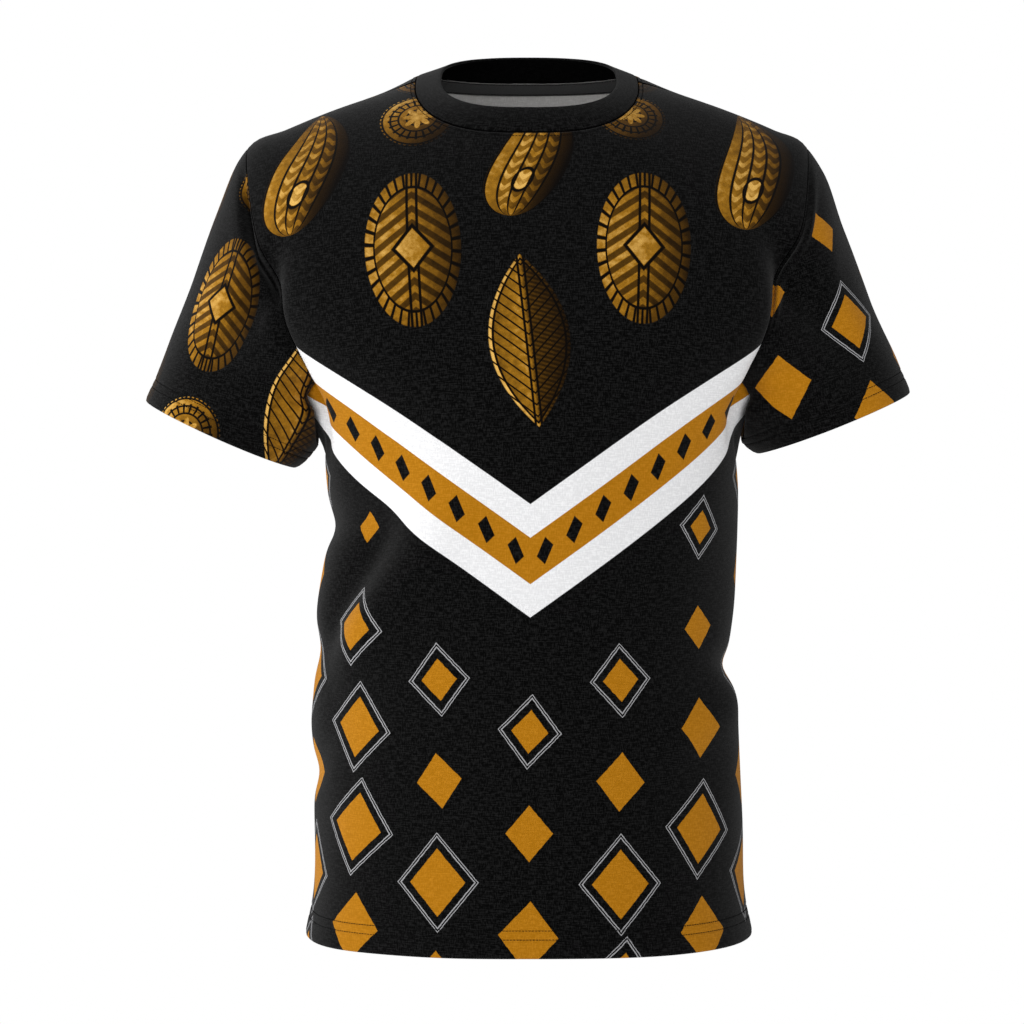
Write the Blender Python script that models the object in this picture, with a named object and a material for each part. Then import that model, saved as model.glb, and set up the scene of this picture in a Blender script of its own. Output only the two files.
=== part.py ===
"""A worn, hollow crew-neck T-shirt: front, back, two sleeves, a rib neckband and the tape inside its neck.

Metres, +Z up. The front faces -Y and the wearer's left is at +X. The origin lies between the two neck
points, where the shoulder seams meet the neckband, at their height. The whole outside is one skin, drawn
through rings that run round the figure from the neck seam to the hem, with two tubes for the sleeves.
Each piece is a stretch of that skin, given its cloth's thickness and drawn back from its seams.
"""

from collections import namedtuple

import bpy
import numpy as np

# Cloth
JERSEY = 0.0015
HEM_WALL = 0.0026
RIB_WALL = 0.0026
TAPE_WALL = 0.0010
SEAM_GAP = 0.0003

# Widths of the finished edges and of the tape inside the neck
HEM_DEPTH = 0.0225
CUFF_DEPTH = 0.0205
TAPE_WIDTH = 0.013
TAPE_BELOW_SEAM = 0.0012
TAPE_SIDE_DEGREES = 12.0
TAPE_GAP = 0.0005
TURN_STEP = 0.0015

# Mesh density
COLUMNS = 30
SHOULDER_ROWS = 6
ARMHOLE_ROWS = 12
SIDE_ROWS = 24
SLEEVE_ROWS = 10
BAND_ROWS = 3

# Rings round the figure, from the neck seam down. side, front and back are the ring's heights at the
# side line, centre front and centre back, and tilt is how steeply it rises towards the back at the side
# line. right and left are its half widths, and fore and aft its depths in front of and behind the side
# line. square is the exponent of its outline, 2 for an ellipse.
Ring = namedtuple("Ring", "side front back tilt right left fore aft square")
RINGS = (
    Ring(0.000, -0.0560, 0.0135, 0.038, 0.095, 0.0945, 0.080, 0.078, 3.00),
    Ring(-0.0105, -0.082, -0.004, 0.020, 0.125, 0.128, 0.092, 0.092, 2.50),
    Ring(-0.0245, -0.118, -0.035, 0.006, 0.164, 0.167, 0.105, 0.106, 2.20),
    Ring(-0.0415, -0.157, -0.078, 0.0, 0.204, 0.208, 0.116, 0.117, 2.15),
    Ring(-0.057, -0.196, -0.122, 0.0, 0.2365, 0.2375, 0.124, 0.124, 2.15),
    Ring(-0.108, -0.228, -0.165, 0.0, 0.256, 0.256, 0.129, 0.127, 2.20),
    Ring(-0.175, -0.255, -0.207, 0.0, 0.246, 0.246, 0.131, 0.127, 2.25),
    Ring(-0.232, -0.277, -0.244, 0.0, 0.213, 0.215, 0.1315, 0.124, 2.30),
    Ring(-0.266, -0.294, -0.279, 0.0, 0.191, 0.194, 0.1315, 0.121, 2.30),
    Ring(-0.290, -0.307, -0.300, 0.0, 0.181, 0.184, 0.131, 0.118, 2.30),
    Ring(-0.320, -0.320, -0.320, 0.0, 0.1735, 0.1795, 0.130, 0.115, 2.30),
    Ring(-0.380, -0.380, -0.380, 0.0, 0.1685, 0.1775, 0.1275, 0.110, 2.30),
    Ring(-0.460, -0.460, -0.460, 0.0, 0.179, 0.1745, 0.1245, 0.107, 2.30),
    Ring(-0.540, -0.540, -0.540, 0.0, 0.1805, 0.179, 0.1235, 0.109, 2.25),
    Ring(-0.620, -0.620, -0.620, 0.0, 0.1805, 0.182, 0.124, 0.113, 2.25),
    Ring(-0.680, -0.680, -0.680, 0.0, 0.1815, 0.183, 0.126, 0.117, 2.30),
    Ring(-0.7235, -0.7235, -0.7235, 0.0, 0.1885, 0.1905, 0.130, 0.121, 2.40),
)
SHOULDER_RING = 4
ARMPIT_RING = 8
LAST_RING = len(RINGS) - 1

# The neckband's upper edge, as a ring of the same kind, and how far the band bulges below it
BAND_TOP = Ring(0.004, -0.034, 0.033, 0.0335, 0.074, 0.077, 0.069, 0.070, 2.8)
BAND_BULGE = 0.0015

# How far round from the side line the armhole reaches at its widest, in degrees, and how blunt its ends
# are, 1 for a pointed sine arch and less for rounder
ARMHOLE_FORE = 37.0
ARMHOLE_AFT = 25.0
ARMHOLE_BLUNTNESS = 0.5

# Folds on the body. Each runs from one point to another, given as degrees round from the wearer's left
# side (-90 is centre front, 90 centre back) and a height. Its rise is positive for a ridge. BODY_RADIUS
# turns those degrees into a distance round the body.
BODY_RADIUS = 0.155
Fold = namedtuple("Fold", "angle_from z_from angle_to z_to width rise")
BODY_FOLDS = (
    Fold(-126, -0.365, -188, -0.380, 0.016, -0.007),
    Fold(-130, -0.392, -170, -0.525, 0.018, 0.008),
    Fold(-140, -0.470, -186, -0.482, 0.012, -0.005),
    Fold(-150, -0.560, -190, -0.590, 0.014, -0.005),
    Fold(-46, -0.455, 8, -0.496, 0.012, -0.010),
    Fold(-60, -0.560, -10, -0.520, 0.018, 0.004),
    Fold(40, -0.400, 100, -0.455, 0.022, -0.006),
    Fold(50, -0.350, 120, -0.410, 0.024, 0.005),
    Fold(150, -0.430, 110, -0.560, 0.022, 0.006),
)

# The sleeves. outer and inner are the ends of the cuff's edge as seen from the front, at y = 0, depth is
# its half depth, drop is how much lower its front hangs, and side is -1 for the wearer's right.
Cuff = namedtuple("Cuff", "side outer_x outer_z inner_x inner_z depth drop")
CUFFS = {
    "sleeve_right": Cuff(-1, 0.323, -0.270, 0.196, -0.328, 0.062, 0.004),
    "sleeve_left": Cuff(1, 0.3245, -0.263, 0.195, -0.316, 0.062, 0.004),
}
# The cuff's turned-up edge as a share of the sleeve's length, and the sleeve's clearance from the body
# under the arm, where it is tucked in against it over a height of UNDERARM_DROP
CUFF_SHARE = 0.11
SLEEVE_CLEARANCE = 0.0025
UNDERARM_TUCK = 0.020
UNDERARM_DROP = 0.018
# How firmly a sleeve keeps the direction that it leaves the armhole in, and that direction's sideways
# share at the shoulder and at the armpit, and its share to the front at the front
CAP_STIFFNESS = 0.6
LEAVE_SIDEWAYS_TOP = 0.66
LEAVE_SIDEWAYS_BOTTOM = 0.74
LEAVE_FORWARD = 0.35

JERSEY_COLOUR = (0.012, 0.012, 0.012)
RIB_COLOUR = (0.010, 0.010, 0.010)
TAPE_COLOUR = (0.020, 0.020, 0.020)


def smooth_step(low, high, value):
    """0 below low, 1 above high and an S-curve between them."""
    share = np.clip((value - low) / (high - low), 0.0, 1.0)
    return share * share * (3.0 - 2.0 * share)


def ring_at(place):
    """The ring at a place in RINGS, between its rows too, on a smooth curve through them."""
    table = np.array(RINGS)
    low = int(np.clip(np.floor(place), 0, LAST_RING - 1))
    share = place - low
    before, here, after, beyond = (table[int(np.clip(low + k, 0, LAST_RING))] for k in (-1, 0, 1, 2))
    slope_here = (after - before) / 2
    slope_after = (beyond - here) / 2
    square, cube = share ** 2, share ** 3
    return Ring(*(
        (2 * cube - 3 * square + 1) * here + (cube - 2 * square + share) * slope_here
        + (3 * square - 2 * cube) * after + (cube - square) * slope_after
    ))


def place_at(height):
    """The place in RINGS whose side line lies at a height below the armpit."""
    places = np.linspace(ARMPIT_RING, LAST_RING, 400)
    sides = np.array([ring_at(place).side for place in places])
    return float(np.interp(-height, -sides, places))


def ring_points(ring, angles):
    """Points of a ring at angles in degrees, and the level directions that point out of it there."""
    turn = np.radians(angles)
    cosine, sine = np.cos(turn), np.sin(turn)
    half = np.where(cosine < 0, ring.right, ring.left)
    deep = np.where(sine < 0, ring.fore, ring.aft)
    end = np.where(sine < 0, ring.front + ring.tilt, ring.back - ring.tilt)
    x = half * np.sign(cosine) * np.abs(cosine) ** (2 / ring.square)
    share = np.sign(sine) * np.abs(sine) ** (2 / ring.square)
    y = deep * share
    z = ring.side + ring.tilt * share + (end - ring.side) * share ** 2
    out_x = np.sign(x) * np.abs(x / half) ** (ring.square - 1) / half
    out_y = np.sign(y) * np.abs(y / deep) ** (ring.square - 1) / deep
    out = np.stack([out_x, out_y, np.zeros_like(x)], axis=-1)
    return np.stack([x, y, z], axis=-1), out / np.linalg.norm(out, axis=-1, keepdims=True)


def fold_rise(angles, heights):
    """How far the folds lift the cloth at each angle and height, fading out at both of their ends."""
    rise = np.zeros_like(heights)
    for fold in BODY_FOLDS:
        start = np.array([np.radians(fold.angle_from) * BODY_RADIUS, fold.z_from])
        along = np.array([np.radians(fold.angle_to) * BODY_RADIUS, fold.z_to]) - start
        length = np.linalg.norm(along)
        for turn in (-360, 0, 360):
            across = np.radians(angles + turn) * BODY_RADIUS - start[0]
            down = heights - start[1]
            share = (across * along[0] + down * along[1]) / length ** 2
            off = (across * along[1] - down * along[0]) / length
            fade = smooth_step(-0.15, 0.3, share) * (1 - smooth_step(0.75, 1.2, share))
            rise += fold.rise * fade * np.exp(-((off / fold.width) ** 2))
    return rise


def body_points(places, angles):
    """The body's skin: one row for each place in RINGS, each with its own row of angles."""
    rows = []
    for place, row_angles in zip(places, angles):
        points, out = ring_points(ring_at(place), row_angles)
        rise = fold_rise(row_angles, points[:, 2])
        rows.append(points + out * rise[:, None])
    return np.array(rows)


def armhole_reach(places, widest):
    """Degrees from the side line to the armhole's edge at each place, none above and below it."""
    share = np.clip((places - SHOULDER_RING) / (ARMPIT_RING - SHOULDER_RING), 0, 1)
    return widest * np.sin(np.pi * share) ** ARMHOLE_BLUNTNESS


def panel_places():
    """Places of a panel's rows: down the shoulder, down the armhole, down the side and round the hem."""
    shoulder = np.linspace(0, SHOULDER_RING, SHOULDER_ROWS + 1)[:-1]
    armhole = np.linspace(SHOULDER_RING, ARMPIT_RING, ARMHOLE_ROWS + 1)[:-1]
    bottom = RINGS[-1].side
    heights = np.linspace(RINGS[ARMPIT_RING].side, bottom + HEM_DEPTH + TURN_STEP, SIDE_ROWS + 1)
    heights = np.append(heights, [bottom + HEM_DEPTH, bottom])
    return np.concatenate([shoulder, armhole, [place_at(height) for height in heights]])


def panel_skin(first_angle, widest):
    """A panel's skin from one side line to the other, over the 180 degrees from first_angle on."""
    places = panel_places()
    reach = armhole_reach(places, widest)
    share = np.linspace(0, 1, COLUMNS + 1)
    angles = first_angle + reach[:, None] + (180 - 2 * reach[:, None]) * share
    return body_points(places, angles)


def armhole_loop(front, back, side):
    """The armhole's points: from the shoulder down the front, and from the armpit up the back."""
    rows = slice(SHOULDER_ROWS, SHOULDER_ROWS + ARMHOLE_ROWS + 1)
    down = front[rows, 0 if side < 0 else -1]
    up = back[rows, -1 if side < 0 else 0][::-1]
    return np.concatenate([down, up[1:-1]])


def clear_of_body(points, side):
    """Sleeve points below the armpit, moved out sideways to lie just clear of the body's skin."""
    moved = points.copy()
    armpit = RINGS[ARMPIT_RING].side
    for point in moved:
        below = smooth_step(0, UNDERARM_DROP / 2, armpit - point[2])
        if below > 0:
            ring = ring_at(place_at(point[2]))
            half = ring.right if side < 0 else ring.left
            deep = ring.fore if point[1] < 0 else ring.aft
            inside = max(1 - abs(point[1] / deep) ** ring.square, 0.0)
            least = half * inside ** (1 / ring.square) + SLEEVE_CLEARANCE
            point[0] += side * below * max(least - side * point[0], 0.0)
    return moved


def sleeve_skin(loop, cuff):
    """A sleeve's skin, ring by ring from the armhole to the cuff's edge."""
    turn = 2 * np.pi * np.arange(len(loop)) / len(loop)
    top, fore = np.cos(turn), np.sin(turn)
    outer = np.array([cuff.side * cuff.outer_x, 0.0, cuff.outer_z])
    inner = np.array([cuff.side * cuff.inner_x, 0.0, cuff.inner_z])
    across = (outer - inner) / 2
    edge = (outer + inner) / 2 + top[:, None] * across
    edge[:, 1] -= fore * cuff.depth
    edge[:, 2] -= fore * cuff.drop
    run = np.cross(across, (0.0, 1.0, 0.0))
    run *= -np.sign(run[2]) / np.linalg.norm(run)
    outward = LEAVE_SIDEWAYS_BOTTOM + (LEAVE_SIDEWAYS_TOP - LEAVE_SIDEWAYS_BOTTOM) * (1 + top) / 2
    leave = np.stack([cuff.side * outward, -LEAVE_FORWARD * fore, -np.sqrt(1 - outward ** 2)], axis=-1)
    reach = np.linalg.norm(edge - loop, axis=1)[:, None]
    armpit = RINGS[ARMPIT_RING].side
    turn_at = 1 - CUFF_SHARE
    shares = np.linspace(0, turn_at, SLEEVE_ROWS + 1)
    shares = np.append(shares, [turn_at + CUFF_SHARE * TURN_STEP / CUFF_DEPTH, 1.0])
    rings = [loop]
    for share in shares[1:]:
        square, cube = share ** 2, share ** 3
        points = (
            (2 * cube - 3 * square + 1) * loop + (cube - 2 * square + share) * leave * reach * CAP_STIFFNESS
            + (3 * square - 2 * cube) * edge + (cube - square) * run * reach
        )
        tuck = UNDERARM_TUCK * np.sin(np.pi * share) * np.sqrt(np.clip(-top, 0, 1))
        points[:, 0] -= cuff.side * tuck * smooth_step(0.002, 0.002 + UNDERARM_DROP, armpit - points[:, 2])
        rings.append(clear_of_body(points, cuff.side))
    return np.array(rings)


def band_skin():
    """The neckband's skin from the neck seam to its upper edge, ring by ring."""
    angles = np.concatenate([
        np.linspace(-180, 0, COLUMNS + 1)[:-1], np.linspace(0, 180, COLUMNS + 1)[:-1],
    ])
    rings = []
    for share in np.linspace(0, 1, BAND_ROWS + 1):
        ring = Ring(*(np.array(RINGS[0]) * (1 - share) + np.array(BAND_TOP) * share))
        points, out = ring_points(ring, angles)
        rings.append(points + out * BAND_BULGE * np.sin(np.pi * share))
    return np.array(rings)


def faces_of(skin, closed):
    """Corner indices of a skin's quads, as pairs of row and column, wound to face out."""
    rows, columns = skin.shape[:2]
    last = columns if closed else columns - 1
    for row in range(rows - 1):
        for column in range(last):
            after = (column + 1) % columns
            yield (row, column), (row + 1, column), (row + 1, after), (row, after)


def own_normals(skin, closed):
    """Outward directions at every point of one skin."""
    sums = np.zeros_like(skin)
    for corners in faces_of(skin, closed):
        a, b, c, d = (skin[corner] for corner in corners)
        normal = np.cross(c - a, d - b)
        for corner in corners:
            sums[corner] += normal / np.linalg.norm(normal)
    return sums / np.linalg.norm(sums, axis=-1, keepdims=True)


def shared_normals(skins):
    """Outward directions at every point of every skin, alike where skins meet at a seam."""
    found = {name: own_normals(skin, closed) for name, (skin, closed) in skins.items()}
    keys = {name: np.round(skin / 1e-5).astype(int) for name, (skin, closed) in skins.items()}
    sums = {}
    for name in skins:
        for key, normal in zip(keys[name].reshape(-1, 3), found[name].reshape(-1, 3)):
            sums[tuple(key)] = sums.get(tuple(key), 0) + normal
    for name in skins:
        shared = np.array([[sums[tuple(key)] for key in row] for row in keys[name]])
        found[name] = shared / np.linalg.norm(shared, axis=-1, keepdims=True)
    return found


def edge_loops(rows, columns, closed):
    """Point numbers round each edge of a skin, with the cloth on the left as seen from outside."""
    number = np.arange(rows * columns).reshape(rows, columns)
    if closed:
        return [number[0, ::-1], number[-1]]
    return [np.concatenate([number[:-1, 0], number[-1, :-1], number[:0:-1, -1], number[0, :0:-1]])]


def drawn_back(skin, normals, closed, free_row):
    """The skin with its seam edges moved back by half the gap. The edge along free_row is no seam."""
    rows, columns = skin.shape[:2]
    points = skin.reshape(-1, 3).copy()
    slopes = normals.reshape(-1, 3)
    free = set(np.arange(rows * columns).reshape(rows, columns)[free_row])
    moves = np.zeros_like(points)
    for loop in edge_loops(rows, columns, closed):
        for before, here, after in zip(np.roll(loop, 1), loop, np.roll(loop, -1)):
            ways = []
            for start, end in ((before, here), (here, after)):
                if not (start in free and end in free):
                    way = np.cross(slopes[here], points[end] - points[start])
                    ways.append(way / np.linalg.norm(way))
            if len(ways) == 2:
                moves[here] = (ways[0] + ways[1]) / (1 + np.dot(ways[0], ways[1]))
            elif ways:
                moves[here] = ways[0]
    return (points + moves * SEAM_GAP / 2).reshape(skin.shape)


def wall_object(name, outside, inside, closed, colour):
    """A closed wall between two skins, as an object with its own material."""
    rows, columns = outside.shape[:2]
    count = rows * columns
    faces = []
    for corners in faces_of(outside, closed):
        quad = [row * columns + column for row, column in corners]
        faces.append(quad)
        faces.append([count + k for k in reversed(quad)])
    points = np.concatenate([outside.reshape(-1, 3), inside.reshape(-1, 3)])
    for loop in edge_loops(rows, columns, closed):
        for here, after in zip(loop, np.roll(loop, -1)):
            down = np.linalg.norm(points[here] - points[count + after])
            up = np.linalg.norm(points[after] - points[count + here])
            if down < up:
                faces += [[after, here, count + after], [here, count + here, count + after]]
            else:
                faces += [[after, here, count + here], [after, count + here, count + after]]
    mesh = bpy.data.meshes.new(name)
    mesh.from_pydata([tuple(point) for point in points], [], [[int(k) for k in face] for face in faces])
    mesh.validate()
    made = bpy.data.objects.new(name, mesh)
    bpy.context.scene.collection.objects.link(made)
    material = bpy.data.materials.new(name)
    material.use_nodes = True
    shader = material.node_tree.nodes["Principled BSDF"]
    shader.inputs["Base Color"].default_value = (*colour, 1.0)
    shader.inputs["Roughness"].default_value = 0.9
    shader.inputs["Metallic"].default_value = 0.0
    mesh.materials.append(material)
    mesh.shade_smooth()
    return made


def make_shirt():
    """All the pieces, from the skins that they share."""
    front = panel_skin(-180, ARMHOLE_FORE)
    back = panel_skin(0, ARMHOLE_AFT)
    skins = {"front": (front, False), "back": (back, False), "neckband": (band_skin()[::-1], True)}
    for name, cuff in CUFFS.items():
        skin = sleeve_skin(armhole_loop(front, back, cuff.side), cuff)
        skins[name] = (skin if cuff.side < 0 else skin[:, ::-1], True)
    normals = shared_normals(skins)
    for name, (skin, closed) in skins.items():
        if name == "neckband":
            wall, free_row, colour = RIB_WALL, 0, RIB_COLOUR
        else:
            wall, free_row, colour = np.full((len(skin), 1, 1), JERSEY), -1, JERSEY_COLOUR
            wall[-2:] = HEM_WALL
        outside = drawn_back(skin, normals[name], closed, free_row)
        wall_object(name, outside, outside - normals[name] * wall, closed, colour)

    first, second = RINGS[:2]
    run = np.hypot(second.aft - first.aft, second.back - first.back)
    places = np.linspace(TAPE_BELOW_SEAM, TAPE_BELOW_SEAM + TAPE_WIDTH, 3) / run
    sides = np.linspace(TAPE_SIDE_DEGREES, 180 - TAPE_SIDE_DEGREES, COLUMNS - 1)
    angles = np.tile(sides, (len(places), 1))
    strip = body_points(places, angles)
    slopes = shared_normals({"strip": (strip, False)})["strip"]
    outside = strip - slopes * (JERSEY + TAPE_GAP)
    inside = outside - slopes * TAPE_WALL
    wall_object("neck_tape", outside, inside, False, TAPE_COLOUR)


for old in list(bpy.data.objects):
    bpy.data.objects.remove(old)
make_shirt()
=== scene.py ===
"""A worn, hollow crew-neck T-shirt with an all-over print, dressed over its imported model.

Metres, +Z up, the front towards -Y and the wearer's left at +X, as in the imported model. The sections follow
the way the shirt is made: the two body panels, the sleeves, the neckband and the tape, each with its
stitches.
"""

from collections import namedtuple
from functools import partial

import bpy
import numpy as np
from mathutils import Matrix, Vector


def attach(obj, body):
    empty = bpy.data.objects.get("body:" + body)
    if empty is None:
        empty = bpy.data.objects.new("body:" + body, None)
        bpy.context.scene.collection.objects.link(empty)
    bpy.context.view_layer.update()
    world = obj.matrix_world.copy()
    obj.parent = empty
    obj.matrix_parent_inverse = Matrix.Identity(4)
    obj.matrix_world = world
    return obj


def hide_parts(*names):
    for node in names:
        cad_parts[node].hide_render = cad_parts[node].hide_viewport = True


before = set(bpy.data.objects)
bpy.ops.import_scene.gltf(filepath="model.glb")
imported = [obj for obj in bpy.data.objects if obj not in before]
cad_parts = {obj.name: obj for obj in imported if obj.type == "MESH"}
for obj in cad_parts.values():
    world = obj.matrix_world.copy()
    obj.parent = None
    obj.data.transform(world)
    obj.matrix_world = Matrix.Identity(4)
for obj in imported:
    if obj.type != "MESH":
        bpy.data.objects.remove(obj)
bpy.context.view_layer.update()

# The camera stands straight in front of the shirt, at the height of its waist, two metres off. Its lens
# frames 0.87 m in the plane of the side seams.
CAMERA_PLACE = (-0.01275, -2.0, -0.366)
CAMERA_LENS = 82.72


def in_scene(name, data):
    """An object of some data, put in the scene."""
    made = bpy.data.objects.new(name, data)
    bpy.context.scene.collection.objects.link(made)
    return made


camera = in_scene("camera", bpy.data.cameras.new("camera"))
camera.location = CAMERA_PLACE
camera.rotation_euler = (np.pi / 2, 0.0, 0.0)
camera.data.lens = CAMERA_LENS
camera.data.sensor_width = 36.0
bpy.context.scene.camera = camera

# The front and back panels: two pieces of light cotton jersey, cut from printed cloth and sewn together at
# the shoulders and sides. Their skin runs through rings round the wearer from the neck seam to the hem, and
# each is a thin wall that rolls in at its seams and turns up round its hem.
JERSEY = 0.0015
HEM_WALL = 0.0026
HEM_DEPTH = 0.0225
# Heights of each ring at the side line, centre front and centre back, how steeply it rises towards the back
# there, its half widths, its depths before and behind the side line, and the exponent of its outline
Ring = namedtuple("Ring", "side front back tilt right left fore aft square")
RINGS = (
    Ring(0.000, -0.0560, 0.0135, 0.038, 0.095, 0.0945, 0.080, 0.078, 3.00),
    Ring(-0.0105, -0.082, -0.004, 0.020, 0.125, 0.128, 0.092, 0.092, 2.50),
    Ring(-0.0245, -0.118, -0.035, 0.006, 0.164, 0.167, 0.105, 0.106, 2.20),
    Ring(-0.0415, -0.157, -0.078, 0.0, 0.204, 0.208, 0.116, 0.117, 2.15),
    Ring(-0.057, -0.196, -0.122, 0.0, 0.2365, 0.2375, 0.124, 0.124, 2.15),
    Ring(-0.108, -0.228, -0.165, 0.0, 0.256, 0.256, 0.129, 0.127, 2.20),
    Ring(-0.175, -0.255, -0.207, 0.0, 0.246, 0.246, 0.131, 0.127, 2.25),
    Ring(-0.232, -0.277, -0.244, 0.0, 0.213, 0.215, 0.1315, 0.124, 2.30),
    Ring(-0.266, -0.294, -0.279, 0.0, 0.191, 0.194, 0.1315, 0.121, 2.30),
    Ring(-0.290, -0.307, -0.300, 0.0, 0.181, 0.184, 0.131, 0.118, 2.30),
    Ring(-0.320, -0.320, -0.320, 0.0, 0.1735, 0.1795, 0.130, 0.115, 2.30),
    Ring(-0.380, -0.380, -0.380, 0.0, 0.1685, 0.1775, 0.1275, 0.110, 2.30),
    Ring(-0.460, -0.460, -0.460, 0.0, 0.179, 0.1745, 0.1245, 0.107, 2.30),
    Ring(-0.540, -0.540, -0.540, 0.0, 0.1805, 0.179, 0.1235, 0.109, 2.25),
    Ring(-0.620, -0.620, -0.620, 0.0, 0.1805, 0.182, 0.124, 0.113, 2.25),
    Ring(-0.680, -0.680, -0.680, 0.0, 0.1815, 0.183, 0.126, 0.117, 2.30),
    Ring(-0.7220, -0.7220, -0.7220, 0.0, 0.1880, 0.1900, 0.129, 0.121, 2.35),
)
SHOULDER_RING = 4
ARMPIT_RING = 8
LAST_RING = len(RINGS) - 1
ARMHOLE_FORE = 37.0
ARMHOLE_AFT = 25.0
ARMHOLE_BLUNTNESS = 0.5
# Creases in the body's cloth, each from one point to another: degrees round from the wearer's left side,
# where -90 is centre front, and a height. rise is positive for a ridge and negative for a trough.
BODY_RADIUS = 0.155
Crease = namedtuple("Crease", "from_angle from_z to_angle to_z width rise")
BODY_CREASES = [Crease(*row) for row in (
    (-126, -0.365, -188, -0.380, 0.016, -0.007),
    (-106, -0.360, -146, -0.492, 0.028, 0.009),
    (-126, -0.366, -158, -0.486, 0.021, -0.007),
    (-158, -0.478, -202, -0.486, 0.020, -0.0055),
    (-156, -0.584, -204, -0.592, 0.015, -0.0035),
    (-150, -0.536, -190, -0.544, 0.018, 0.0015),
    (-150, -0.560, -190, -0.590, 0.014, -0.002),
    (-34, -0.486, 24, -0.506, 0.013, -0.006),
    (-24, -0.484, 30, -0.502, 0.034, -0.006),
    (-60, -0.560, -10, -0.520, 0.018, 0.004),
    (40, -0.400, 100, -0.455, 0.022, -0.006),
    (50, -0.350, 120, -0.410, 0.024, 0.005),
    (150, -0.430, 110, -0.560, 0.022, 0.006),
    # where the front rolls in to the armholes, and the fold under each arm
    (-142, -0.150, -160, -0.300, 0.013, -0.016),
    (-38, -0.135, -22, -0.295, 0.016, -0.018),
    (-166, -0.290, -186, -0.345, 0.012, -0.006),
    (-16, -0.290, 6, -0.350, 0.012, -0.006),
    # soft folds of the back
    (58, -0.190, 74, -0.420, 0.020, 0.004),
    (120, -0.200, 106, -0.440, 0.022, 0.004),
    (26, -0.260, 64, -0.370, 0.014, -0.005),
    (152, -0.270, 120, -0.380, 0.014, -0.005),
    (70, -0.500, 124, -0.530, 0.018, -0.004),
    (30, -0.560, 62, -0.640, 0.018, 0.003),
)]
# Over which shares of its length a crease comes up and fades away, and how many rings below the neck seam
# creases reach their full height
CREASE_START = (-0.15, 0.3)
CREASE_END = (0.75, 1.2)
NECK_HOLD = 0.8
# Gentle unevenness of cloth that hangs free: waves across the body and down it, in cycles for each metre
Wave = namedtuple("Wave", "across down phase rise")
BODY_WAVES = (
    Wave(5.1, 1.3, 0.4, 0.0008),
    Wave(-7.3, 2.9, 2.1, 0.0006),
    Wave(9.7, -1.9, 4.0, 0.0004),
    Wave(3.0, 6.1, 1.2, 0.0004),
)
# Rough lengths of a shoulder seam, an armhole's front and a panel's width, the mesh density along them, and
# how far from a seam the closest lines of points lie
SHOULDER_LENGTH = 0.15
ARMHOLE_LENGTH = 0.23
BODY_WIDTH = 0.5
SHOULDER_ROWS = 26
ARMHOLE_ROWS = 64
SIDE_ROWS = 120
HEM_ROWS = 26
COLUMNS = 120
SEAM_STEPS = (0.0004, 0.0010, 0.0018, 0.0027, 0.0036, 0.0045, 0.0056)
# The roll of the cloth into a seam: how deep it sinks and from how far off
SEAM_DEPTH = 0.0011
SEAM_ROLL = 0.0026
# How many rows along each seam get the darker finish without sheen: painted shade in the seams
PAINTED_SHADE_ROWS = 2
# Steps round a free edge, from its outside to its inside
EDGE_STEPS = 5


def smooth_step(low, high, value):
    """0 below low, 1 above high and an S-curve between them."""
    share = np.clip((value - low) / (high - low), 0.0, 1.0)
    return share * share * (3.0 - 2.0 * share)


RING_TABLE = np.array(RINGS)


def curved(share, start, leave, end, arrive):
    """A place part of the way along a curve, from its ends and how it leaves one and arrives at the other."""
    square, cube = share ** 2, share ** 3
    return (
        (2 * cube - 3 * square + 1) * start + (cube - 2 * square + share) * leave
        + (3 * square - 2 * cube) * end + (cube - square) * arrive
    )


def ring_at(place):
    """The ring at a place in RINGS, between its rows too, on a smooth curve through them."""
    low = int(np.clip(np.floor(place), 0, LAST_RING - 1))
    before, here, after, beyond = (RING_TABLE[int(np.clip(low + k, 0, LAST_RING))] for k in (-1, 0, 1, 2))
    return Ring(*curved(place - low, here, (after - before) / 2, after, (beyond - here) / 2))


# Rings below the armpit, close together, to look up by height
side_places = np.linspace(ARMPIT_RING, LAST_RING, 400)
side_rings = np.array([ring_at(place) for place in side_places])


def ring_points(ring, angles):
    """Points of a ring at angles in degrees, and the level directions that point out of it there."""
    turn = np.radians(angles)
    cosine, sine = np.cos(turn), np.sin(turn)
    half = np.where(cosine < 0, ring.right, ring.left)
    deep = np.where(sine < 0, ring.fore, ring.aft)
    end = np.where(sine < 0, ring.front + ring.tilt, ring.back - ring.tilt)
    x = half * np.sign(cosine) * np.abs(cosine) ** (2 / ring.square)
    share = np.sign(sine) * np.abs(sine) ** (2 / ring.square)
    y = deep * share
    z = ring.side + ring.tilt * share + (end - ring.side) * share ** 2
    out_x = np.sign(x) * np.abs(x / half) ** (ring.square - 1) / half
    out_y = np.sign(y) * np.abs(y / deep) ** (ring.square - 1) / deep
    out = np.stack([out_x, out_y, np.zeros_like(x)], axis=-1)
    return np.stack([x, y, z], axis=-1), out / np.linalg.norm(out, axis=-1, keepdims=True)


def crease_rise(creases, angles, heights, radius):
    """How far creases lift the cloth at each angle and height, fading out at both of their ends."""
    rise = np.zeros_like(heights)
    for crease in creases:
        start = np.array([np.radians(crease[0]) * radius, crease[1]])
        along = np.array([np.radians(crease[2]) * radius, crease[3]]) - start
        length = np.linalg.norm(along)
        for turn in (-360, 0, 360):
            across = np.radians(angles + turn) * radius - start[0]
            down = heights - start[1]
            share = (across * along[0] + down * along[1]) / length ** 2
            off = (across * along[1] - down * along[0]) / length
            fade = smooth_step(*CREASE_START, share) * (1 - smooth_step(*CREASE_END, share))
            rise += crease.rise * fade * np.exp(-((off / crease.width) ** 2))
    return rise


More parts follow.
